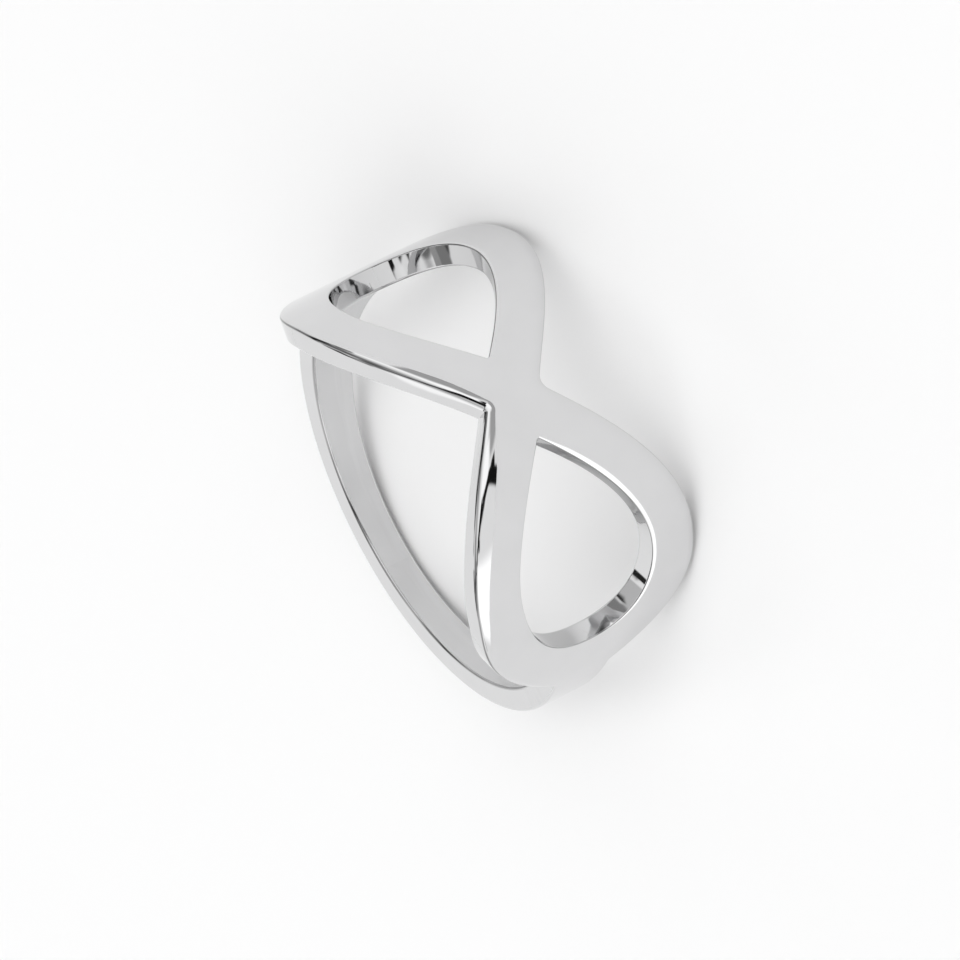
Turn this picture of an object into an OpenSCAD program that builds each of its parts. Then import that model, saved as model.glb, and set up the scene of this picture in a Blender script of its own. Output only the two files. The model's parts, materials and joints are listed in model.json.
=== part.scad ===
// Finger ring whose front is a lying figure eight, bent round the finger.
// Millimetres, +Z up. The ring lies on its side on the plane z = 0.
// Lengths along the ring are measured on its outside face, from the crossing.

/* [Band] */
// Width of the finger hole
bore_d = 17; // [14:0.25:23]
// Thickness of the metal
metal_t = 1.05; // [0.8:0.05:1.6]
// Width of the band where it leaves a loop
band_side_w = 2.75; // [2:0.05:4]
// Width of the band at its back
band_back_w = 1.45; // [1:0.05:2.8]

/* [Figure] */
// Length of the figure along the outside of the ring
figure_l = 27.8; // [22:0.2:30]
// Width of the figure along the finger
figure_w = 10.44; // [8:0.04:13]
// Width of the crossing between its two notches
cross_w = 2.86; // [2:0.02:4]
// Length of the crossing between the corners of the two holes
cross_l = 3.86; // [2.6:0.02:5]
// Width of the strap at the widest place of a loop
strap_w = 2.05; // [1.4:0.05:2.6]
// Length of metal between a hole and the band
neck_l = 2.55; // [1.8:0.05:3.6]
// Rounding at the bottom of a notch
notch_r = 0.6; // [0.2:0.05:1]

/* [Curves] */
// Slope of the arms at the crossing, in degrees
arm_slope = 35; // [28:1:42]
// Slope of a hole's sides at its corner, in degrees
corner_slope = 41; // [34:1:48]
// Slope of a loop where it meets the band, in degrees
neck_slope = 54; // [44:1:62]
// Share of the half length where a loop is widest
widest_at = 0.56; // [0.52:0.01:0.62]

/* [Shoulder] */
// Width of the slanted edge of the outside face
shoulder_w = 0.3; // [0.1:0.05:0.4]
// Depth of the slanted edge
shoulder_t = 0.2; // [0.1:0.05:0.3]

/* [Hidden] */

r_in = bore_d / 2;
r_out = r_in + metal_t;
r_edge = r_out - shoulder_t;

half_l = figure_l / 2;
back_l = PI * r_out;
peak = [half_l * widest_at, figure_w / 2];
neck = [half_l, band_side_w / 2];
corner = [cross_l / 2, 0];
hole_peak = [peak.x, figure_w / 2 - strap_w];
hole_end = [half_l - neck_l, 0];

// How far a curve's handles reach, as a share of the length it covers
arm_start_reach = 0.28;
arm_peak_reach = 0.4;
loop_peak_reach = 0.32;
loop_neck_reach = 0.44;
corner_reach = 0.2;
hole_rise_reach = 0.4;
hole_fall_reach = 0.5;
hole_round_reach = 0.68;

// Straight pieces that stand for each curve
notch_steps = 4;
arm_steps = 18;
loop_steps = 16;
band_steps = 14;
hole_steps = 14;

// The cutting shapes reach past both faces of the metal
core_r = r_in * 0.7;
near_r = r_out + 0.1;
far_r = r_out * 1.3;
tube_h = figure_w * 1.2;
bore_spare = 1;
circle_fn = 128;

function slope_by(angle) = [cos(angle), sin(angle)];
function unit(v) = v / norm(v);

function curve_at(a, b, c, d, t) =
    pow(1 - t, 3) * a + 3 * pow(1 - t, 2) * t * b + 3 * (1 - t) * t * t * c + pow(t, 3) * d;

function curve(a, b, c, d, first, steps) =
    [for (i = [first : steps]) curve_at(a, b, c, d, i / steps)];

// Half outline of the figure and the band: length along the ring, half width
notch = [for (i = [0 : notch_steps])
    let (turn = arm_slope * i / notch_steps)
    [notch_r * sin(turn), cross_w / 2 + notch_r * (1 - cos(turn))]];
arm_start = notch[notch_steps];
arm_span = peak.x - arm_start.x;
loop_span = neck.x - peak.x;
arm = curve(
    arm_start,
    arm_start + slope_by(arm_slope) * arm_span * arm_start_reach,
    peak - [arm_span * arm_peak_reach, 0],
    peak, 1, arm_steps);
loop = curve(
    peak,
    peak + [loop_span * loop_peak_reach, 0],
    neck + slope_by(180 - neck_slope) * loop_span * loop_neck_reach / cos(neck_slope),
    neck, 1, loop_steps);
band = [for (i = [1 : band_steps])
    let (left = 1 - i / band_steps)
    [back_l - (back_l - neck.x) * left, band_back_w / 2 + (neck.y - band_back_w / 2) * left * left]];
outline = concat(notch, arm, loop, band);
last = len(outline) - 1;

// The same outline moved into the metal, for the shoulder
function inset_point(before, p, after, depth) =
    let (way = unit(p - before) + unit(after - p))
    p - [-way.y, way.x] / norm(way) * depth / (norm(way) / 2);

function inset(depth) = [for (i = [0 : last])
    let (
        before = i == 0 ? [-outline[1].x, outline[1].y] : outline[i - 1],
        after = i == last ? [2 * back_l - outline[last - 1].x, outline[last - 1].y] : outline[i + 1]
    )
    inset_point(before, outline[i], after, depth)];

face_outline = inset(shoulder_w);
near_outline = inset(shoulder_w * (near_r - r_edge) / shoulder_t);

// Outline of a hole, closed
hole_rise_span = hole_peak.x - corner.x;
hole_fall_span = hole_end.x - hole_peak.x;
hole_rise = curve(
    corner,
    corner + slope_by(corner_slope) * hole_rise_span * corner_reach,
    hole_peak - [hole_rise_span * hole_rise_reach, 0],
    hole_peak, 0, hole_steps);
hole_fall = curve(
    hole_peak,
    hole_peak + [hole_fall_span * hole_fall_reach, 0],
    hole_end + [0, hole_peak.y * hole_round_reach],
    hole_end, 1, hole_steps);
hole_half = concat(hole_rise, hole_fall);
hole_last = len(hole_half) - 1;
hole_loop = concat(
    hole_half,
    [for (i = [hole_last - 1 : -1 : 1]) [hole_half[i].x, -hole_half[i].y]]);
hole_middle = [(corner.x + hole_end.x) / 2, 0];

// A point of an outline on a circle round the finger, crossing towards -Y
function degrees_at(along) = along / r_out * 180 / PI;
function on_ring(r, p) =
    [-r * sin(degrees_at(p.x)), -r * cos(degrees_at(p.x)), p.y];
function flip(p) = [p.x, -p.y];

// Half a turn of stations made into a whole turn
function whole_turn(half) =
    concat(half, [for (i = [last - 1 : -1 : 1]) [2 * back_l - half[i].x, half[i].y]]);

// The ring rests on its two loops and on the back of the band
back_half = band_back_w / 2;
lean = max([for (p = outline)
    atan2(p.y - back_half, r_in * cos(degrees_at(p.x)) + r_edge)]);

function laid(v) =
    [v.x, v.y * cos(lean) + v.z * sin(lean), v.z * cos(lean) - v.y * sin(lean)];

laid_points = [for (i = [0 : last]) each [
    laid(on_ring(r_in, flip(outline[i]))),
    laid(on_ring(r_edge, outline[i])),
    laid(on_ring(r_edge, flip(outline[i]))),
    laid(on_ring(r_out, face_outline[i])),
    laid(on_ring(r_out, flip(face_outline[i])))]];
lowest = min([for (v = laid_points) v.z]);
depth_middle = (min([for (v = laid_points) v.y]) + max([for (v = laid_points) v.y])) / 2;

// The tube that the ring is cut from
module tube() {
    difference() {
        cylinder(r = r_out, h = tube_h, center = true, $fn = circle_fn);
        cylinder(r = r_in, h = tube_h + bore_spare, center = true, $fn = circle_fn);
    }
}

// A closed belt with the outline's width, and its shoulders at the outside
module belt() {
    sides = whole_turn(outline);
    shoulders = whole_turn(near_outline);
    count = len(sides);
    corners = 6;
    points = [for (i = [0 : count - 1]) each [
        on_ring(core_r, sides[i]),
        on_ring(r_edge, sides[i]),
        on_ring(near_r, shoulders[i]),
        on_ring(near_r, flip(shoulders[i])),
        on_ring(r_edge, flip(sides[i])),
        on_ring(core_r, flip(sides[i]))]];
    faces = [for (i = [0 : count - 1], k = [0 : corners - 1])
        let (
            here = i * corners,
            next = (i + 1) % count * corners,
            up = (k + 1) % corners
        )
        each [[here + k, here + up, next + up], [here + k, next + up, next + k]]];
    polyhedron(points = points, faces = faces, convexity = 8);
}

// A wedge through the metal with the outline of a hole
module hole_wedge() {
    count = len(hole_loop);
    points = concat(
        [for (p = hole_loop) on_ring(core_r, p)],
        [for (p = hole_loop) on_ring(far_r, p)],
        [on_ring(core_r, hole_middle), on_ring(far_r, hole_middle)]);
    faces = [for (i = [0 : count - 1])
        let (next = (i + 1) % count)
        each [
            [next, i, count + next],
            [count + next, i, count + i],
            [i, next, 2 * count],
            [count + next, count + i, 2 * count + 1]]];
    polyhedron(points = points, faces = faces, convexity = 8);
}

module ring() {
    color([0.82, 0.82, 0.84])
    translate([0, -depth_middle, -lowest])
    rotate([-lean, 0, 0])
    difference() {
        intersection() {
            tube();
            belt();
        }
        hole_wedge();
        mirror([1, 0, 0]) hole_wedge();
    }
}

ring();
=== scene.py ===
import json
import math
import bmesh
import bpy
import numpy as np
from mathutils import Matrix, Vector
from mathutils.geometry import delaunay_2d_cdt


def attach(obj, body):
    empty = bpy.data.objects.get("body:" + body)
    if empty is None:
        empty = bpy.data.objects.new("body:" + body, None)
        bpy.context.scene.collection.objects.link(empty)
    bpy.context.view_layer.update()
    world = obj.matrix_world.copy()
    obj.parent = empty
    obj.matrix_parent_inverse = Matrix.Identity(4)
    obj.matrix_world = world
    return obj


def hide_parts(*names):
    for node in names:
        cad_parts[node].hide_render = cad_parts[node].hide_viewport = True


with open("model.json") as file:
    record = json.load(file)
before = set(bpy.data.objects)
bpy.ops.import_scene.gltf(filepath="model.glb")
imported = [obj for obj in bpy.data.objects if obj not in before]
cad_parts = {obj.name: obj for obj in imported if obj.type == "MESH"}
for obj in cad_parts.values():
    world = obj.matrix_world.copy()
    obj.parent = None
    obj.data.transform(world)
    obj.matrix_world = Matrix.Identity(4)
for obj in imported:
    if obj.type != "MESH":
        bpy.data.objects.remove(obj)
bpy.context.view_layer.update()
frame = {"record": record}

scene = bpy.context.scene
mm = 0.001

# The ring, in millimetres. Places on it are given flat: along is the length on its
# outside face from the middle of the crossing, across is the width along the finger.
ring = dict(
    boreWidth=17.0,
    metalThick=1.05,
    bandSideWidth=2.75,
    bandBackWidth=1.45,
    figureLength=27.8,
    figureWidth=10.44,
    crossWidth=2.86,
    crossLength=3.86,              # between the pointed ends of the two holes
    strapWidth=2.05,               # metal beside a hole where a loop is widest
    neckLength=2.55,               # metal between a hole and the end of its loop
    notchRadius=0.6,
    sharpNotchRadius=0.08,         # the notch that faces up as the ring lies
    armSlope=35,                   # degrees from the way along the ring
    cornerSlope=41,
    neckSlope=54,
    widestAt=0.56,                 # as a share of the way from the crossing to a loop's end
    cornerRadius=0.09,             # the pointed end of a hole
    neckRadius=0.22,               # where a loop meets the band
    innerRadius=0.12,              # the edge round the inside face
    creaseWidth=0.05,              # softness of the line where a shoulder starts
    creaseShare=0.2,               # and the most that this takes of a narrow shoulder
    crown=0.12,                    # 1 is a straight slanted shoulder, 0 a round one
    flareShare=0.3,                # how far a leaning wall spreads at its foot
    crossingShift=(-0.18, 0.16),   # the crossing sits a little to one side
    shiftReach=4.0,                # and the shift fades out over this length
    easing=0.7,                    # length over which the shoulder's rows blend
    easingFade=0.8,                # how much less a row counts at the end of that length
    holeBlend=1.5,                 # width over which the two sides of a hole blend
    edgeLine=5,                    # the higher, the finer the painted dark line of shade along an edge
    innerLine=3,                   # and along the edge of the inside face
)

# How far a curve's handles reach, as a share of the length it covers
reach = dict(
    armStart=0.28,
    armPeak=0.4,
    loopPeak=0.32,
    loopNeck=0.44,
    holeCorner=0.2,
    holeRise=0.4,
    holeFall=0.5,
    holeRound=0.68,
)

# How finely the mesh follows the shapes
detail = dict(
    curveSteps=300,
    notchSteps=30,
    bandSteps=200,
    arcSteps=12,
    longest=0.12,                  # longest step along an edge, mm
    turn=6.0,                      # largest turn at one step, degrees
    fewest=8,                      # steps along a line, at least
    faceGrid=0.4,                  # spacing inside a face, mm
    faceClear=0.45,                # share of that kept clear beside an edge
    faceReach=5.2,                 # half the width that the spacing covers, mm
    shoulderRows=(0.4, 0.6, 0.8, 1.0),
    edgeRows=6,
    wallRows=(0.2, 0.4, 0.6),
    innerRows=(0.0, 0.25, 0.5, 0.75, 1.0),
    easingSamples=9,
    fillTolerance=1e-7,            # mm
    mergeWithin=0.0005,            # corners closer than this become one, mm
)

polishedSlot = 0                   # the material slots of the ring's mesh
satinSlot = 1

rIn = ring["boreWidth"] / 2
rOut = rIn + ring["metalThick"]
backAt = math.pi * rOut            # along, at the back of the band
halfLength = ring["figureLength"] / 2
loopPeak = np.array([halfLength * ring["widestAt"], ring["figureWidth"] / 2])


def slopeBy(degrees):
    return np.array([math.cos(math.radians(degrees)), math.sin(math.radians(degrees))])


def curve(a, b, c, d):
    t = np.linspace(0, 1, detail["curveSteps"] + 1)[:, None]
    a, b, c, d = (np.asarray(p, float) for p in (a, b, c, d))
    return (1 - t) ** 3 * a + 3 * (1 - t) ** 2 * t * b + 3 * (1 - t) * t * t * c + t ** 3 * d


def roundCorner(points, at, radius):
    # Cuts the corner at that index back along both sides and joins them with an arc
    p = points[at]
    ways = points[at - 1] - p, points[(at + 1) % len(points)] - p
    ways = [way / np.linalg.norm(way) for way in ways]
    half = math.acos(np.clip(ways[0] @ ways[1], -1, 1)) / 2
    cut = radius / math.tan(half)
    middle = (ways[0] + ways[1]) / np.linalg.norm(ways[0] + ways[1])
    centre = p + middle * radius / math.sin(half)
    first, last = (p + way * cut - centre for way in ways)
    sweep = math.pi - 2 * half
    arc = [centre + (math.sin((1 - t) * sweep) * first + math.sin(t * sweep) * last) / math.sin(sweep)
           for t in np.linspace(0, 1, detail["arcSteps"] + 1)]
    clear = np.linalg.norm(points - p, axis=1) > cut
    before = points[:at][clear[:at]]
    after = points[at + 1:][clear[at + 1:]]
    return np.concatenate([before, arc, after])


def thin(points):
    # Keeps a point where the line has run on far enough or turned enough
    step = np.diff(points, axis=0)
    length = np.linalg.norm(step, axis=1)
    heading = np.unwrap(np.arctan2(step[:, 1], step[:, 0]))
    turned = np.abs(np.diff(heading, prepend=heading[0]))
    cost = length / detail["longest"] + turned / math.radians(detail["turn"])
    total = np.concatenate([[0], np.cumsum(cost)])
    count = max(detail["fewest"], int(math.ceil(total[-1])))
    every = np.arange(len(points))
    at = np.interp(np.linspace(0, total[-1], count + 1), total, every)
    return np.stack([np.interp(at, every, points[:, k]) for k in (0, 1)], axis=1)


def halfOutline(notchRadius):
    # Half the outer edge, from the notch over a loop and along the band to its back
    neck = np.array([halfLength, ring["bandSideWidth"] / 2])
    turn = np.radians(np.linspace(0, ring["armSlope"], detail["notchSteps"]))
    notch = np.stack([notchRadius * np.sin(turn),
                      ring["crossWidth"] / 2 + notchRadius * (1 - np.cos(turn))], axis=1)
    start = notch[-1]
    rise = loopPeak[0] - start[0]
    fall = neck[0] - loopPeak[0]
    arm = curve(start, start + slopeBy(ring["armSlope"]) * rise * reach["armStart"],
                loopPeak - [rise * reach["armPeak"], 0], loopPeak)
    neckHandle = slopeBy(180 - ring["neckSlope"]) / slopeBy(ring["neckSlope"])[0]
    loop = curve(loopPeak, loopPeak + [fall * reach["loopPeak"], 0],
                 neck + neckHandle * fall * reach["loopNeck"], neck)
    left = 1 - np.linspace(0, 1, detail["bandSteps"])
    back = ring["bandBackWidth"] / 2
    band = np.stack([backAt - (backAt - neck[0]) * left, back + (neck[1] - back) * left ** 2], axis=1)
    points = np.concatenate([notch, arm[1:], loop[1:], band[1:]])
    kink = len(notch) + len(arm) + len(loop) - 3
    return thin(roundCorner(points, kink, ring["neckRadius"]))


def holeLoop():
    # Anticlockwise, from the round end over the upper side to the corner and back
    corner = np.array([ring["crossLength"] / 2, 0])
    top = loopPeak - [0, ring["strapWidth"]]
    end = np.array([halfLength - ring["neckLength"], 0])
    rise = top[0] - corner[0]
    fall = end[0] - top[0]
    up = curve(corner, corner + slopeBy(ring["cornerSlope"]) * rise * reach["holeCorner"],
               top - [rise * reach["holeRise"], 0], top)
    down = curve(top, top + [fall * reach["holeFall"], 0], end + [0, top[1] * reach["holeRound"]], end)
    half = np.concatenate([up, down[1:]])
    loop = np.concatenate([half[::-1], half[1:] * [1, -1]])
    return thin(roundCorner(loop, len(half) - 1, ring["cornerRadius"]))[:-1]


# The shoulder along each edge: its width and mean slope, the radius of the edge
# below it, how many degrees the wall leans there, and the painted shade held in the
# colour on the edge, on the wall and on the edge of the inside face (1 is none).
shoulders = dict(
    upperEdge=[
        # along, width, slope, radius, lean, painted shade on the edge, on the wall, on the inner edge
        (-16.0, 0.12, 0.30, 0.10, 0, 1.0, 1.0, 0.35),
        (-14.0, 0.12, 0.30, 0.10, 0, 1.0, 1.0, 0.35),
        (-12.6, 0.14, 0.28, 0.11, 0, 0.35, 1.0, 1.0),
        (-9.0, 0.20, 0.20, 0.16, 0, 0.20, 1.0, 1.0),
        (-6.0, 0.34, 0.16, 0.24, 6, 0.05, 1.0, 1.0),
        (-4.3, 0.48, 0.15, 0.28, 9, 0.12, 1.0, 1.0),
        (-1.6, 0.60, 0.15, 0.30, 9, 0.40, 1.0, 1.0),
        (-0.6, 0.54, 0.15, 0.30, 9, 0.60, 1.0, 1.0),
        (0.1, 0.46, 0.16, 0.30, 9, 0.60, 1.0, 1.0),
        (0.8, 0.62, 0.16, 0.30, 9, 0.55, 1.0, 1.0),
        (1.8, 0.80, 0.17, 0.28, 9, 0.40, 1.0, 1.0),
        (4.0, 0.96, 0.18, 0.24, 9, 0.40, 1.0, 1.0),
        (6.8, 0.84, 0.20, 0.20, 9, 0.30, 1.0, 1.0),
        (9.0, 0.64, 0.24, 0.18, 6, 0.20, 1.0, 1.0),
        (10.4, 0.54, 0.28, 0.18, 3, 0.18, 1.0, 1.0),
        (11.8, 0.34, 0.30, 0.16, 0, 0.18, 1.0, 1.0),
        (13.0, 0.20, 0.30, 0.12, 0, 0.35, 1.0, 0.60),
        (14.0, 0.12, 0.30, 0.10, 0, 1.0, 1.0, 0.35),
    ],
    lowerEdge=[
        (-14.0, 0.20, 0.30, 0.08, 0, 0.90, 0.95, 1.0),
        (-10.0, 0.42, 0.34, 0.08, 0, 0.55, 0.75, 1.0),
        (0.0, 0.32, 0.34, 0.08, 0, 0.40, 0.63, 1.0),
        (10.0, 0.42, 0.34, 0.08, 0, 0.55, 0.75, 1.0),
        (14.0, 0.20, 0.30, 0.08, 0, 0.90, 0.95, 1.0),
    ],
    holeFarSide=[
        (-12.0, 0.14, 0.30, 0.08, 2, 0.15, 0.95, 0.30),
        (-8.0, 0.16, 0.30, 0.09, 2, 0.10, 0.85, 0.60),
        (-5.0, 0.20, 0.30, 0.13, 2, 0.05, 0.50, 0.80),
        (-2.0, 0.18, 0.30, 0.13, 2, 0.05, 0.42, 0.80),
        (2.0, 0.16, 0.34, 0.08, 2, 0.10, 0.42, 0.80),
        (3.0, 0.26, 0.34, 0.08, 2, 0.10, 0.45, 0.80),
        (6.4, 0.23, 0.34, 0.08, 2, 0.10, 0.48, 0.80),
        (7.4, 0.22, 0.34, 0.08, 2, 0.10, 0.95, 1.0),
        (9.0, 0.20, 0.34, 0.08, 2, 0.12, 1.0, 1.0),
        (11.5, 0.12, 0.30, 0.08, 2, 0.20, 1.0, 0.80),
    ],
    holeNearSide=[
        (-12.0, 0.09, 0.30, 0.06, 2, 0.45, 0.90, 1.0),
        (12.0, 0.09, 0.30, 0.06, 2, 0.45, 0.90, 1.0),
    ],
)


def outwardOf(points, period=0.0):
    # Left of the way of travel, which is away from the metal
    before = np.roll(points, 1, axis=0)
    after = np.roll(points, -1, axis=0)
    before[0, 0] -= period
    after[-1, 0] += period
    ahead = after - points
    behind = points - before
    way = ahead / np.linalg.norm(ahead, axis=1)[:, None] + behind / np.linalg.norm(behind, axis=1)[:, None]
    way /= np.linalg.norm(way, axis=1)[:, None]
    return np.stack([-way[:, 1], way[:, 0]], axis=1)


def edgeProfile(width, slope, radius, lean, edgeShade, wallShade, innerShade):
    # Rows of (inset, depth, tilt, painted shade) from the outside face round to the inside face
    crown = ring["crown"]
    inner = ring["innerRadius"]
    foot = ring["metalThick"] - inner
    draft = math.radians(lean)
    wallTilt = math.pi / 2 - draft
    edgeTilt = math.atan((2 - crown) * slope)
    drop = foot - slope * width - radius * (math.cos(edgeTilt) - math.cos(wallTilt))
    flare = ring["flareShare"] * draft * drop
    run = width - flare - radius * (math.sin(wallTilt) - math.sin(edgeTilt))
    depth = slope * run
    soft = min(ring["creaseWidth"], ring["creaseShare"] * run)
    rows = [(width + soft, 0.0, 0.0, 1.0)]
    for x in (soft / run, *detail["shoulderRows"]):
        rows.append((width - run * x, depth * (crown * x + (1 - crown) * x * x),
                     math.atan(slope * (crown + 2 * (1 - crown) * x)), 1.0))
    centre = depth + radius * math.cos(edgeTilt)
    for x in np.linspace(0, 1, detail["edgeRows"] + 1)[1:]:
        tilt = edgeTilt + (wallTilt - edgeTilt) * x
        # painted dark line: shade held in the colour, darkest midway round the edge's curve
        line = 1 - (1 - edgeShade) * math.sin(math.pi * x) ** ring["edgeLine"]
        rows.append((flare + radius * (math.sin(wallTilt) - math.sin(tilt)),
                     centre - radius * math.cos(tilt), tilt, (1 + (wallShade - 1) * x) * line))
    start = rows[-1][1]
    for x in detail["wallRows"]:
        left = 1 - x / detail["wallRows"][-1]
        rows.append((flare * left * left, start + (foot - start) * x, math.pi / 2 - draft * left, wallShade))
    for x in detail["innerRows"]:
        tilt = math.pi / 2 * (1 + x)
        # a painted dark line of shade round the edge of the inside face too
        line = 1 - (1 - innerShade) * math.sin(math.pi * x) ** ring["innerLine"]
        rows.append((inner * (1 - math.sin(tilt)), foot - inner * math.cos(tilt), tilt,
                     (wallShade + (1 - wallShade) * x) * line))
    return rows


def shoulderAt(points, tables):
    # The rows blended at each point; a hole has one table for each of its sides
    at = (points[:, 0] + backAt) % (2 * backAt) - backAt
    offsets = np.linspace(-1, 1, detail["easingSamples"])
    weights = 1 - ring["easingFade"] * np.abs(offsets)
    found = []
    for name in tables:
        rows = np.array(shoulders[name], float)
        eased = 0
        for offset, weight in zip(offsets, weights):
            near = at + offset * ring["easing"]
            values = [np.interp(near, rows[:, 0], rows[:, k]) for k in range(1, rows.shape[1])]
            eased = eased + weight / weights.sum() * np.stack(values, axis=1)
        found.append(eased)
    if len(found) == 1:
        return found[0]
    share = np.clip(points[:, 1] / ring["holeBlend"] + 0.5, 0, 1)[:, None]
    return found[0] * share + found[1] * (1 - share)


# The ring lies on its side, leaning back on its two loops and the back of the band
bore = frame["record"]["mounts"][0]
boreCentre = np.array(bore["pos_m"])
boreAxis = np.array(bore["axis"])
boreLean = math.atan2(boreAxis[1], boreAxis[2])


def laid(upright):
    # From the ring's own axes (finger along Z, crossing towards -Y) to the floor's
    c = math.cos(boreLean)
    s = math.sin(boreLean)
    x, y, z = upright[..., 0], upright[..., 1], upright[..., 2]
    return np.stack([x, y * c + z * s, z * c - y * s], axis=-1)


def wrapped(along, across, radius):
    share = np.exp(-(along / ring["shiftReach"]) ** 2)
    angle = (along + ring["crossingShift"][0] * share) / rOut
    height = across + ring["crossingShift"][1] * share
    return laid(np.stack([-radius * np.sin(angle), -radius * np.cos(angle), height], axis=-1))


def facingAt(along, way, tilt):
    # Tilt turns from the outward direction towards the flat direction way
    angle = along / rOut
    none = 0 * angle
    outward = np.stack([-np.sin(angle), -np.cos(angle), none], axis=-1)
    around = np.stack([-np.cos(angle), np.sin(angle), none], axis=-1)
    finger = np.stack([none, none, none + 1], axis=-1)
    side = way[..., :1] * around + way[..., 1:] * finger
    return laid(np.cos(tilt)[..., None] * outward + np.sin(tilt)[..., None] * side)


def addCorners(sheet, along, across, depth, facing, tone):
    first = sum(len(tones) for tones in sheet["tones"])
    sheet["places"].append(wrapped(along, across, rOut - depth).reshape(-1, 3))
    sheet["facings"].append(facing.reshape(-1, 3))
    sheet["flats"].append(np.stack([along, across, depth], axis=-1).reshape(-1, 3))
    sheet["tones"].append(tone.ravel())
    return first


def sweepEdge(sheet, points, period, tables):
    # Carries the edge profile along a closed line; returns its first and last rows
    outward = outwardOf(points, period)
    profile = np.array([edgeProfile(*row) for row in shoulderAt(points, tables)])
    inset, depth, tilt, tone = np.moveaxis(profile, -1, 0)
    along = points[:, :1] - outward[:, :1] * inset
    across = points[:, 1:] - outward[:, 1:] * inset
    count, rows = inset.shape
    facing = facingAt(along, np.repeat(outward[:, None, :], rows, axis=1), tilt)
    first = addCorners(sheet, along, across, depth, facing, tone)
    for i in range(count):
        here = first + i * rows
        there = first + (i + 1) % count * rows
        for k in range(rows - 1):
            sheet["faces"].append((here + k, here + k + 1, there + k + 1, there + k))
    sheet["slots"] += [polishedSlot] * (count * (rows - 1))
    return [np.stack([along[:, k], across[:, k]], axis=1) for k in (0, -1)]


def inside(points, loop):
    # Even and odd crossings of a closed line
    x, y = points[:, 0][:, None], points[:, 1][:, None]
    a, b = loop, np.roll(loop, -1, axis=0)
    crossed = (a[:, 1] > y) != (b[:, 1] > y)
    with np.errstate(divide="ignore", invalid="ignore"):
        at = a[:, 0] + (y - a[:, 1]) / (b[:, 1] - a[:, 1]) * (b[:, 0] - a[:, 0])
    return (crossed & (x < at)).sum(axis=1) % 2 == 1


def coverFace(sheet, borders, depth, slot):
    # Fills between the upper and lower edges, less the holes
    top, bottom, *holes = borders
    top = np.concatenate([top, top[:1] + [2 * backAt, 0]])
    bottom = np.concatenate([bottom, bottom[:1] - [2 * backAt, 0]])
    strip = np.concatenate([top[::-1], bottom[::-1]])
    edges = []
    first = 0
    for loop in (strip, *holes):
        edges += [(first + i, first + (i + 1) % len(loop)) for i in range(len(loop))]
        first += len(loop)
    border = np.concatenate([strip, *holes])
    grid = detail["faceGrid"]
    halfWidth = detail["faceReach"]
    gridX, gridY = np.meshgrid(np.arange(-backAt + grid, backAt - grid / 2, grid),
                               np.arange(-halfWidth, halfWidth + grid / 4, grid))
    extra = np.stack([gridX.ravel(), gridY.ravel()], axis=1)
    keep = inside(extra, strip)
    for hole in holes:
        keep &= ~inside(extra, hole)
    near = np.array([np.min(np.sum((border - p) ** 2, axis=1)) for p in extra])
    extra = extra[keep & (near > (detail["faceClear"] * grid) ** 2)]
    points = [Vector(p) for p in np.concatenate([border, extra])]
    made, _, triangles, _, _, _ = delaunay_2d_cdt(points, edges, [], 0, detail["fillTolerance"])
    made = np.array([tuple(p) for p in made])
    triangles = np.array(triangles)
    middle = made[triangles].mean(axis=1)
    keep = inside(middle, strip)
    for hole in holes:
        keep &= ~inside(middle, hole)
    triangles = triangles[keep]
    outside = depth == 0
    count = len(made)
    facing = facingAt(made[:, 0], np.zeros((count, 2)), np.full(count, 0.0 if outside else math.pi))
    first = addCorners(sheet, made[:, 0], made[:, 1], np.full(count, depth), facing, np.ones(count))
    if outside:
        triangles = triangles[:, ::-1]
    sheet["faces"] += [tuple(first + int(k) for k in corners) for corners in triangles]
    sheet["slots"] += [slot] * len(triangles)


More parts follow.
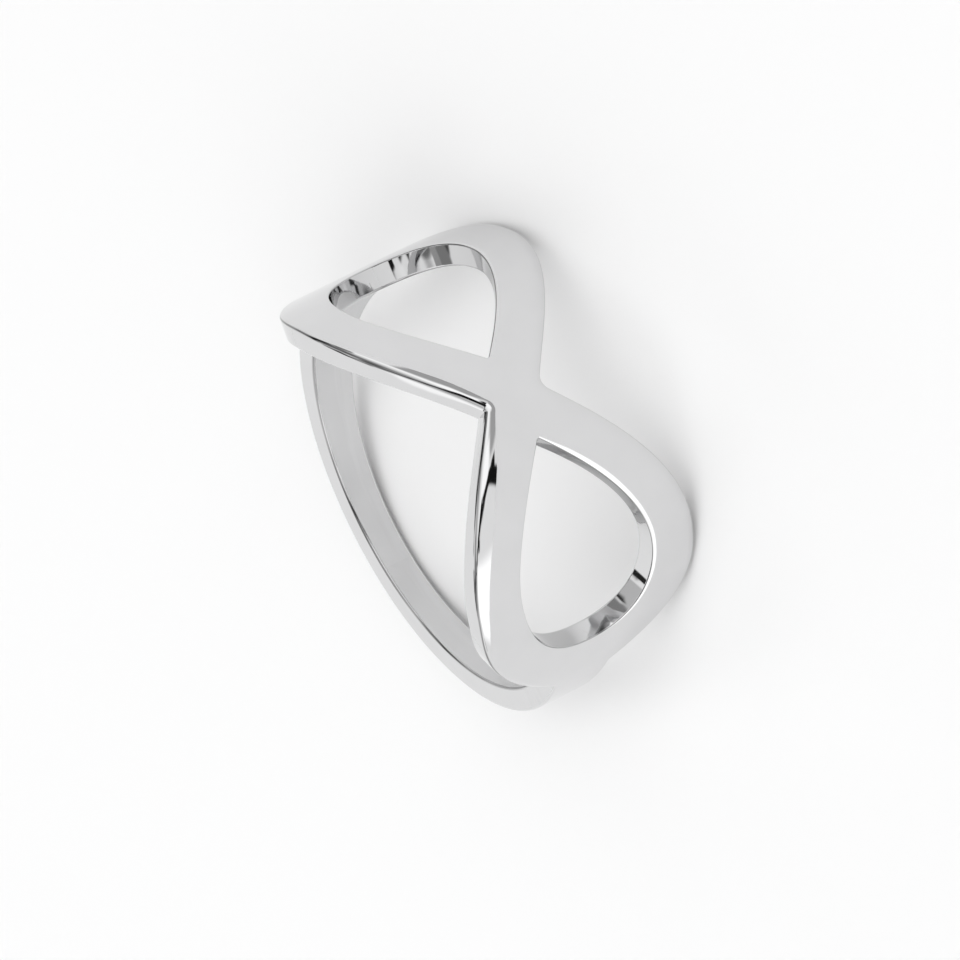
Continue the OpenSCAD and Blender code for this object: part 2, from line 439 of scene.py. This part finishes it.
def buildRing():
    upper = halfOutline(ring["sharpNotchRadius"])
    lower = halfOutline(ring["notchRadius"])
    top = np.concatenate([upper[:0:-1] * [-1, 1], upper[:-1]])      # round from the back
    bottom = np.concatenate([lower[:0:-1] * [1, -1], lower[:-1] * [-1, -1]])
    hole = holeLoop()
    otherHole = hole[::-1] * [-1, 1]
    print("outlines:", len(top), "and", len(bottom), "points, each hole", len(hole))

    sheet = dict(places=[], facings=[], flats=[], tones=[], faces=[], slots=[])
    holeTables = ["holeNearSide", "holeFarSide"]
    outer, inner = zip(
        sweepEdge(sheet, top, 2 * backAt, ["upperEdge"]),
        sweepEdge(sheet, bottom, -2 * backAt, ["lowerEdge"]),
        sweepEdge(sheet, hole, 0.0, holeTables),
        sweepEdge(sheet, otherHole, 0.0, holeTables))
    coverFace(sheet, outer, 0.0, polishedSlot)
    coverFace(sheet, inner, ring["metalThick"], satinSlot)

    build = bmesh.new()
    facing = build.verts.layers.float_vector.new("facing")
    flat = build.verts.layers.float_vector.new("flat")
    # per-corner painted shade: darker edges and hole walls held in the colour, not in the light
    paintedShade = build.verts.layers.float.new("paintedShade")
    places = np.concatenate(sheet["places"]) * mm + boreCentre
    facings = np.concatenate(sheet["facings"])
    flats = np.concatenate(sheet["flats"])
    tones = np.concatenate(sheet["tones"])
    for place, way, where, tone in zip(places, facings, flats, tones):
        corner = build.verts.new(place)
        corner[facing] = way
        corner[flat] = where
        corner[paintedShade] = tone
    build.verts.ensure_lookup_table()
    for corners, slot in zip(sheet["faces"], sheet["slots"]):
        face = build.faces.new([build.verts[i] for i in corners])
        face.material_index = slot
        face.smooth = True
    bmesh.ops.remove_doubles(build, verts=build.verts, dist=detail["mergeWithin"] * mm)
    bmesh.ops.delete(build, geom=[v for v in build.verts if not v.link_faces], context="VERTS")
    openEdges = sum(len(edge.link_faces) != 2 for edge in build.edges)

    # Surface coordinates in mm: along the ring, and across plus the depth down a wall
    surface = build.loops.layers.uv.new("surface")
    for face in build.faces:
        alongs = [corner.vert[flat][0] for corner in face.loops]
        wraps = max(alongs) - min(alongs) > backAt
        for corner in face.loops:
            along, across, depth = corner.vert[flat]
            if wraps and along < 0:
                along += 2 * backAt
            corner[surface].uv = (along, across + (depth if across > 0 else -depth))
    data = bpy.data.meshes.new("infinityRing")
    build.to_mesh(data)
    normals = [tuple(corner[facing]) for corner in build.verts]
    build.free()
    data.normals_split_custom_set_from_vertices(normals)
    piece = bpy.data.objects.new("ringBody", data)
    scene.collection.objects.link(piece)
    print("ring:", len(data.vertices), "corners,", len(data.polygons), "faces,", openEdges, "open edges")
    return piece


silver = dict(
    polished=dict(
        colour=(0.68, 0.68, 0.685),
        mottle=0.015,              # how far the colour strays either way
        roughness=(0.03, 0.07),
        cloud=(0.5, 0.5),          # texture steps per mm, along the ring and across it
        waves=0.008,               # height of the slight unevenness, mm
        grain=(5.0, 9.0),
        scratch=0.00004,           # depth of the finest marks, mm
    ),
    satin=dict(
        colour=(0.67, 0.67, 0.675),
        mottle=0.06,
        roughness=(0.27, 0.31),
        cloud=(0.15, 0.4),
        waves=0.001,
        grain=(1.5, 40.0),
        scratch=0.0003,
    ),
    cloudRange=(0.3, 0.7),         # the part of the noise that the looks spread over
    cloudDetail=2.0,
    grainDetail=4.0,
)


def silverMaterial(name, look):
    material = bpy.data.materials.new(name)
    material.use_nodes = True
    nodes = material.node_tree.nodes
    links = material.node_tree.links
    shader = nodes["Principled BSDF"]
    shader.inputs["Metallic"].default_value = 1.0
    place = nodes.new("ShaderNodeUVMap")
    place.uv_map = "surface"

    def noise(steps, fineness):
        stretch = nodes.new("ShaderNodeMapping")
        stretch.inputs["Scale"].default_value = (*steps, 1)
        links.new(place.outputs["UV"], stretch.inputs["Vector"])
        made = nodes.new("ShaderNodeTexNoise")
        made.inputs["Scale"].default_value = 1.0
        made.inputs["Detail"].default_value = fineness
        links.new(stretch.outputs["Vector"], made.inputs["Vector"])
        return made.outputs["Fac"]

    def bump(height, depth, under=None):
        made = nodes.new("ShaderNodeBump")
        made.inputs["Distance"].default_value = depth * mm
        links.new(height, made.inputs["Height"])
        if under:
            links.new(under, made.inputs["Normal"])
        return made.outputs["Normal"]

    cloud = noise(look["cloud"], silver["cloudDetail"])
    grain = noise(look["grain"], silver["grainDetail"])
    low, high = silver["cloudRange"]

    rough = nodes.new("ShaderNodeMapRange")
    rough.inputs["From Min"].default_value = low
    rough.inputs["From Max"].default_value = high
    rough.inputs["To Min"].default_value = look["roughness"][0]
    rough.inputs["To Max"].default_value = look["roughness"][1]
    links.new(cloud, rough.inputs["Value"])
    links.new(rough.outputs["Result"], shader.inputs["Roughness"])

    tint = nodes.new("ShaderNodeValToRGB")
    for stop, position, share in zip(tint.color_ramp.elements, (low, high),
                                     (1 - look["mottle"], 1 + look["mottle"])):
        stop.position = position
        stop.color = (*[c * share for c in look["colour"]], 1)
    links.new(cloud, tint.inputs["Fac"])
    paintedShade = nodes.new("ShaderNodeAttribute")      # painted shade at the edges and walls, multiplied into the colour
    paintedShade.attribute_name = "paintedShade"
    shaded = nodes.new("ShaderNodeVectorMath")
    shaded.operation = "SCALE"
    links.new(tint.outputs["Color"], shaded.inputs[0])
    links.new(paintedShade.outputs["Fac"], shaded.inputs["Scale"])
    links.new(shaded.outputs["Vector"], shader.inputs["Base Color"])

    waves = bump(cloud, look["waves"])
    links.new(bump(grain, look["scratch"], waves), shader.inputs["Normal"])
    return material


body = buildRing()
body.data.materials.append(silverMaterial("polishedSilver", silver["polished"]))    # polishedSlot
body.data.materials.append(silverMaterial("satinSilver", silver["satin"]))          # satinSlot
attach(body, "root")
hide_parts("ring")
print("silver: polished outside, satin inside")

ground = dict(
    halfWidth=2.0,
    colour=(0.93, 0.93, 0.93, 1),
    roughness=0.9,
)


def layFloor():
    half = ground["halfWidth"]
    data = bpy.data.meshes.new("floor")
    corners = [(-half, -half, 0), (half, -half, 0), (half, half, 0), (-half, half, 0)]
    data.from_pydata(corners, [], [(0, 1, 2, 3)])
    floor = bpy.data.objects.new("floor", data)
    scene.collection.objects.link(floor)
    material = bpy.data.materials.new("paleFloor")
    material.use_nodes = True
    shader = material.node_tree.nodes["Principled BSDF"]
    shader.inputs["Base Color"].default_value = ground["colour"]
    shader.inputs["Roughness"].default_value = ground["roughness"]
    data.materials.append(material)
    print("floor laid")


layFloor()

# A pale room with panels that the metal mirrors. Azimuth is counted from behind the
# ring (+Y) towards its right (+X); all angles are in degrees. Later panels lie on top.
studio = dict(
    strength=1.0,
    rise=[
        # elevation, brightness
        (0, 0.99),
        (20, 1.02),
        (60, 1.05),
        (80, 1.05),
        (85, 0.15),
        (90, 0.10),
    ],
    panels=[
        # azimuth, elevation, half width, half height, softness, brightness, turn
        (-112, 8, 19, 24, 13, 1.60, 0),        # white, front left
        (158, 3, 14, 9, 6, 0.46, 0),           # grey, low at the front
        (155, 45, 34, 23, 8, 1.28, 0),         # white, above it
        (173, 25, 7, 8, 5, 1.40, 0),
        (-55, 38, 20, 17, 5, 1.35, 0),         # white, back left
        (-56, 75, 62, 4.5, 4, 0.20, 0),        # dark bars overhead: the line along the left arm
        (-34, 64, 10, 6, 4, 0.40, 0),
        (-15, 56, 10, 7, 4, 0.26, 0),
        (4, 57, 10, 7, 4, 0.04, 0),
        (22, 57, 8, 8, 4, 0.08, 0),
        (-122, 68, 10, 3, 3, 0.05, 0),
        (-140, 59, 8, 4, 4, 0.05, 0),
        (-150, 49, 7, 6, 4, 0.05, 0),
        (-158, 36, 6, 10, 3, 0.01, 0),         # dark arc at the front: the streak on the lower arm
        (-165.5, 35, 5, 12, 3, 0.01, -31),
        (-162, 27, 10, 3.5, 2.5, 0.01, 24),
        (-175, 17, 1.8, 5, 2, 0.01, -38),
        (-172.5, 6.5, 2.2, 9, 2, 0.01, 36),
        (-177.5, 8, 3, 2.5, 2, 0.01, 0),
        (84, 47, 26, 5, 4, 0.62, 0),           # grey and dark bars, right: the lower arm's edge
        (80, 74, 6, 5, 4, 0.12, 0),
        (73, 36, 25, 5.5, 3, 0.03, 0),
        (51, 27, 3, 8, 3, 0.05, 0),
        (-149, 27.5, 2.5, 2.5, 2, 0.01, 0),
        (43, 42, 3, 4, 2, 0.02, 0),            # the bars in the holes' walls
        (112, 33, 7, 7, 5, 0.26, 0),
        (-75, 14, 1.5, 6, 2, 0.05, 25),
    ],
    fillSize=2.0,                              # overhead light for the floor, not mirrored
    fillHeight=1.5,
    fillPower=5.7,
)


def lightStudio():
    world = bpy.data.worlds.new("studio")
    scene.world = world
    world.use_nodes = True
    nodes = world.node_tree.nodes
    links = world.node_tree.links

    def calc(operation, *values):
        node = nodes.new("ShaderNodeMath")
        node.operation = operation
        for socket, value in zip(node.inputs, values):
            if isinstance(value, (int, float)):
                socket.default_value = value
            else:
                links.new(value, socket)
        return node.outputs["Value"]

    def band(away, half, soft):
        # 1 within half of the middle, falling to 0 over the softness
        edge = nodes.new("ShaderNodeMapRange")
        edge.interpolation_type = "SMOOTHSTEP"
        edge.inputs["From Min"].default_value = half + soft
        edge.inputs["From Max"].default_value = half
        links.new(calc("ABSOLUTE", away), edge.inputs["Value"])
        return edge.outputs["Result"]

    place = nodes.new("ShaderNodeTexCoord")
    parts = nodes.new("ShaderNodeSeparateXYZ")
    links.new(place.outputs["Generated"], parts.inputs[0])
    azimuth = calc("DEGREES", calc("ARCTAN2", parts.outputs["X"], parts.outputs["Y"]))
    elevation = calc("DEGREES", calc("ARCSINE", parts.outputs["Z"]))

    rise = nodes.new("ShaderNodeValToRGB")
    links.new(calc("DIVIDE", elevation, 90.0), rise.inputs["Fac"])
    while len(rise.color_ramp.elements) < len(studio["rise"]):
        rise.color_ramp.elements.new(0.5)      # placed below
    for stop, (height, value) in zip(rise.color_ramp.elements, studio["rise"]):
        stop.position = height / 90
        stop.color = (value, value, value, 1)

    shade = rise.outputs["Color"]
    for across, up, halfWidth, halfHeight, soft, value, turn in studio["panels"]:
        aside = calc("WRAP", calc("SUBTRACT", azimuth, across), 180.0, -180.0)
        above = calc("SUBTRACT", elevation, up)
        if turn:
            c = math.cos(math.radians(turn))
            s = math.sin(math.radians(turn))
            turned = calc("ADD", calc("MULTIPLY", aside, c), calc("MULTIPLY", above, s))
            above = calc("SUBTRACT", calc("MULTIPLY", above, c), calc("MULTIPLY", aside, s))
            aside = turned
        mix = nodes.new("ShaderNodeMix")
        mix.data_type = "RGBA"
        share = calc("MULTIPLY", band(aside, halfWidth, soft), band(above, halfHeight, soft))
        links.new(share, mix.inputs["Factor"])
        links.new(shade, mix.inputs[6])            # 6 and 7 are its two colours, output 2 the mixed one
        mix.inputs[7].default_value = (value, value, value, 1)
        shade = mix.outputs[2]
    links.new(shade, nodes["Background"].inputs["Color"])
    nodes["Background"].inputs["Strength"].default_value = studio["strength"]

    fillData = bpy.data.lights.new("fill", "AREA")
    fillData.size = studio["fillSize"]
    fillData.energy = studio["fillPower"]
    fill = bpy.data.objects.new("fill", fillData)
    fill.location = (0, 0, studio["fillHeight"])
    fill.visible_glossy = False
    scene.collection.objects.link(fill)
    print("studio:", len(studio["panels"]), "panels and one fill light")


lightStudio()

# The picture's own axes, seen from the floor's, and where the bore's middle lands in it
view = dict(
    right=(-0.5114, -0.5022, -0.6973),
    down=(-0.8381, 0.4708, 0.2756),
    forward=(0.1898, 0.7253, -0.6617),
    distance=500.0,                # mm
    pixelsPerMm=24.76,
    borePixel=(453.7, 485.2),
    imagePixels=960,
    sensorWidth=36.0,
    clip=(0.05, 10.0),             # nearest and farthest that it sees, m
)


def placeCamera():
    data = bpy.data.cameras.new("camera")
    camera = bpy.data.objects.new("camera", data)
    scene.collection.objects.link(camera)
    right, down, forward = (Vector(view[k]).normalized() for k in ("right", "down", "forward"))
    away = view["distance"] * mm
    asideX, asideY = ((at - view["imagePixels"] / 2) / view["pixelsPerMm"] * mm for at in view["borePixel"])
    eye = Vector(boreCentre) - forward * away - right * asideX - down * asideY
    turn = Matrix((right, -down, -forward)).transposed()
    camera.matrix_world = Matrix.Translation(eye) @ turn.to_4x4()
    data.sensor_width = view["sensorWidth"]
    data.lens = view["pixelsPerMm"] * view["distance"] * view["sensorWidth"] / view["imagePixels"]
    data.clip_start, data.clip_end = view["clip"]
    scene.camera = camera
    scene.view_settings.view_transform = "Standard"
    print("camera placed,", view["distance"], "mm away")


placeCamera()
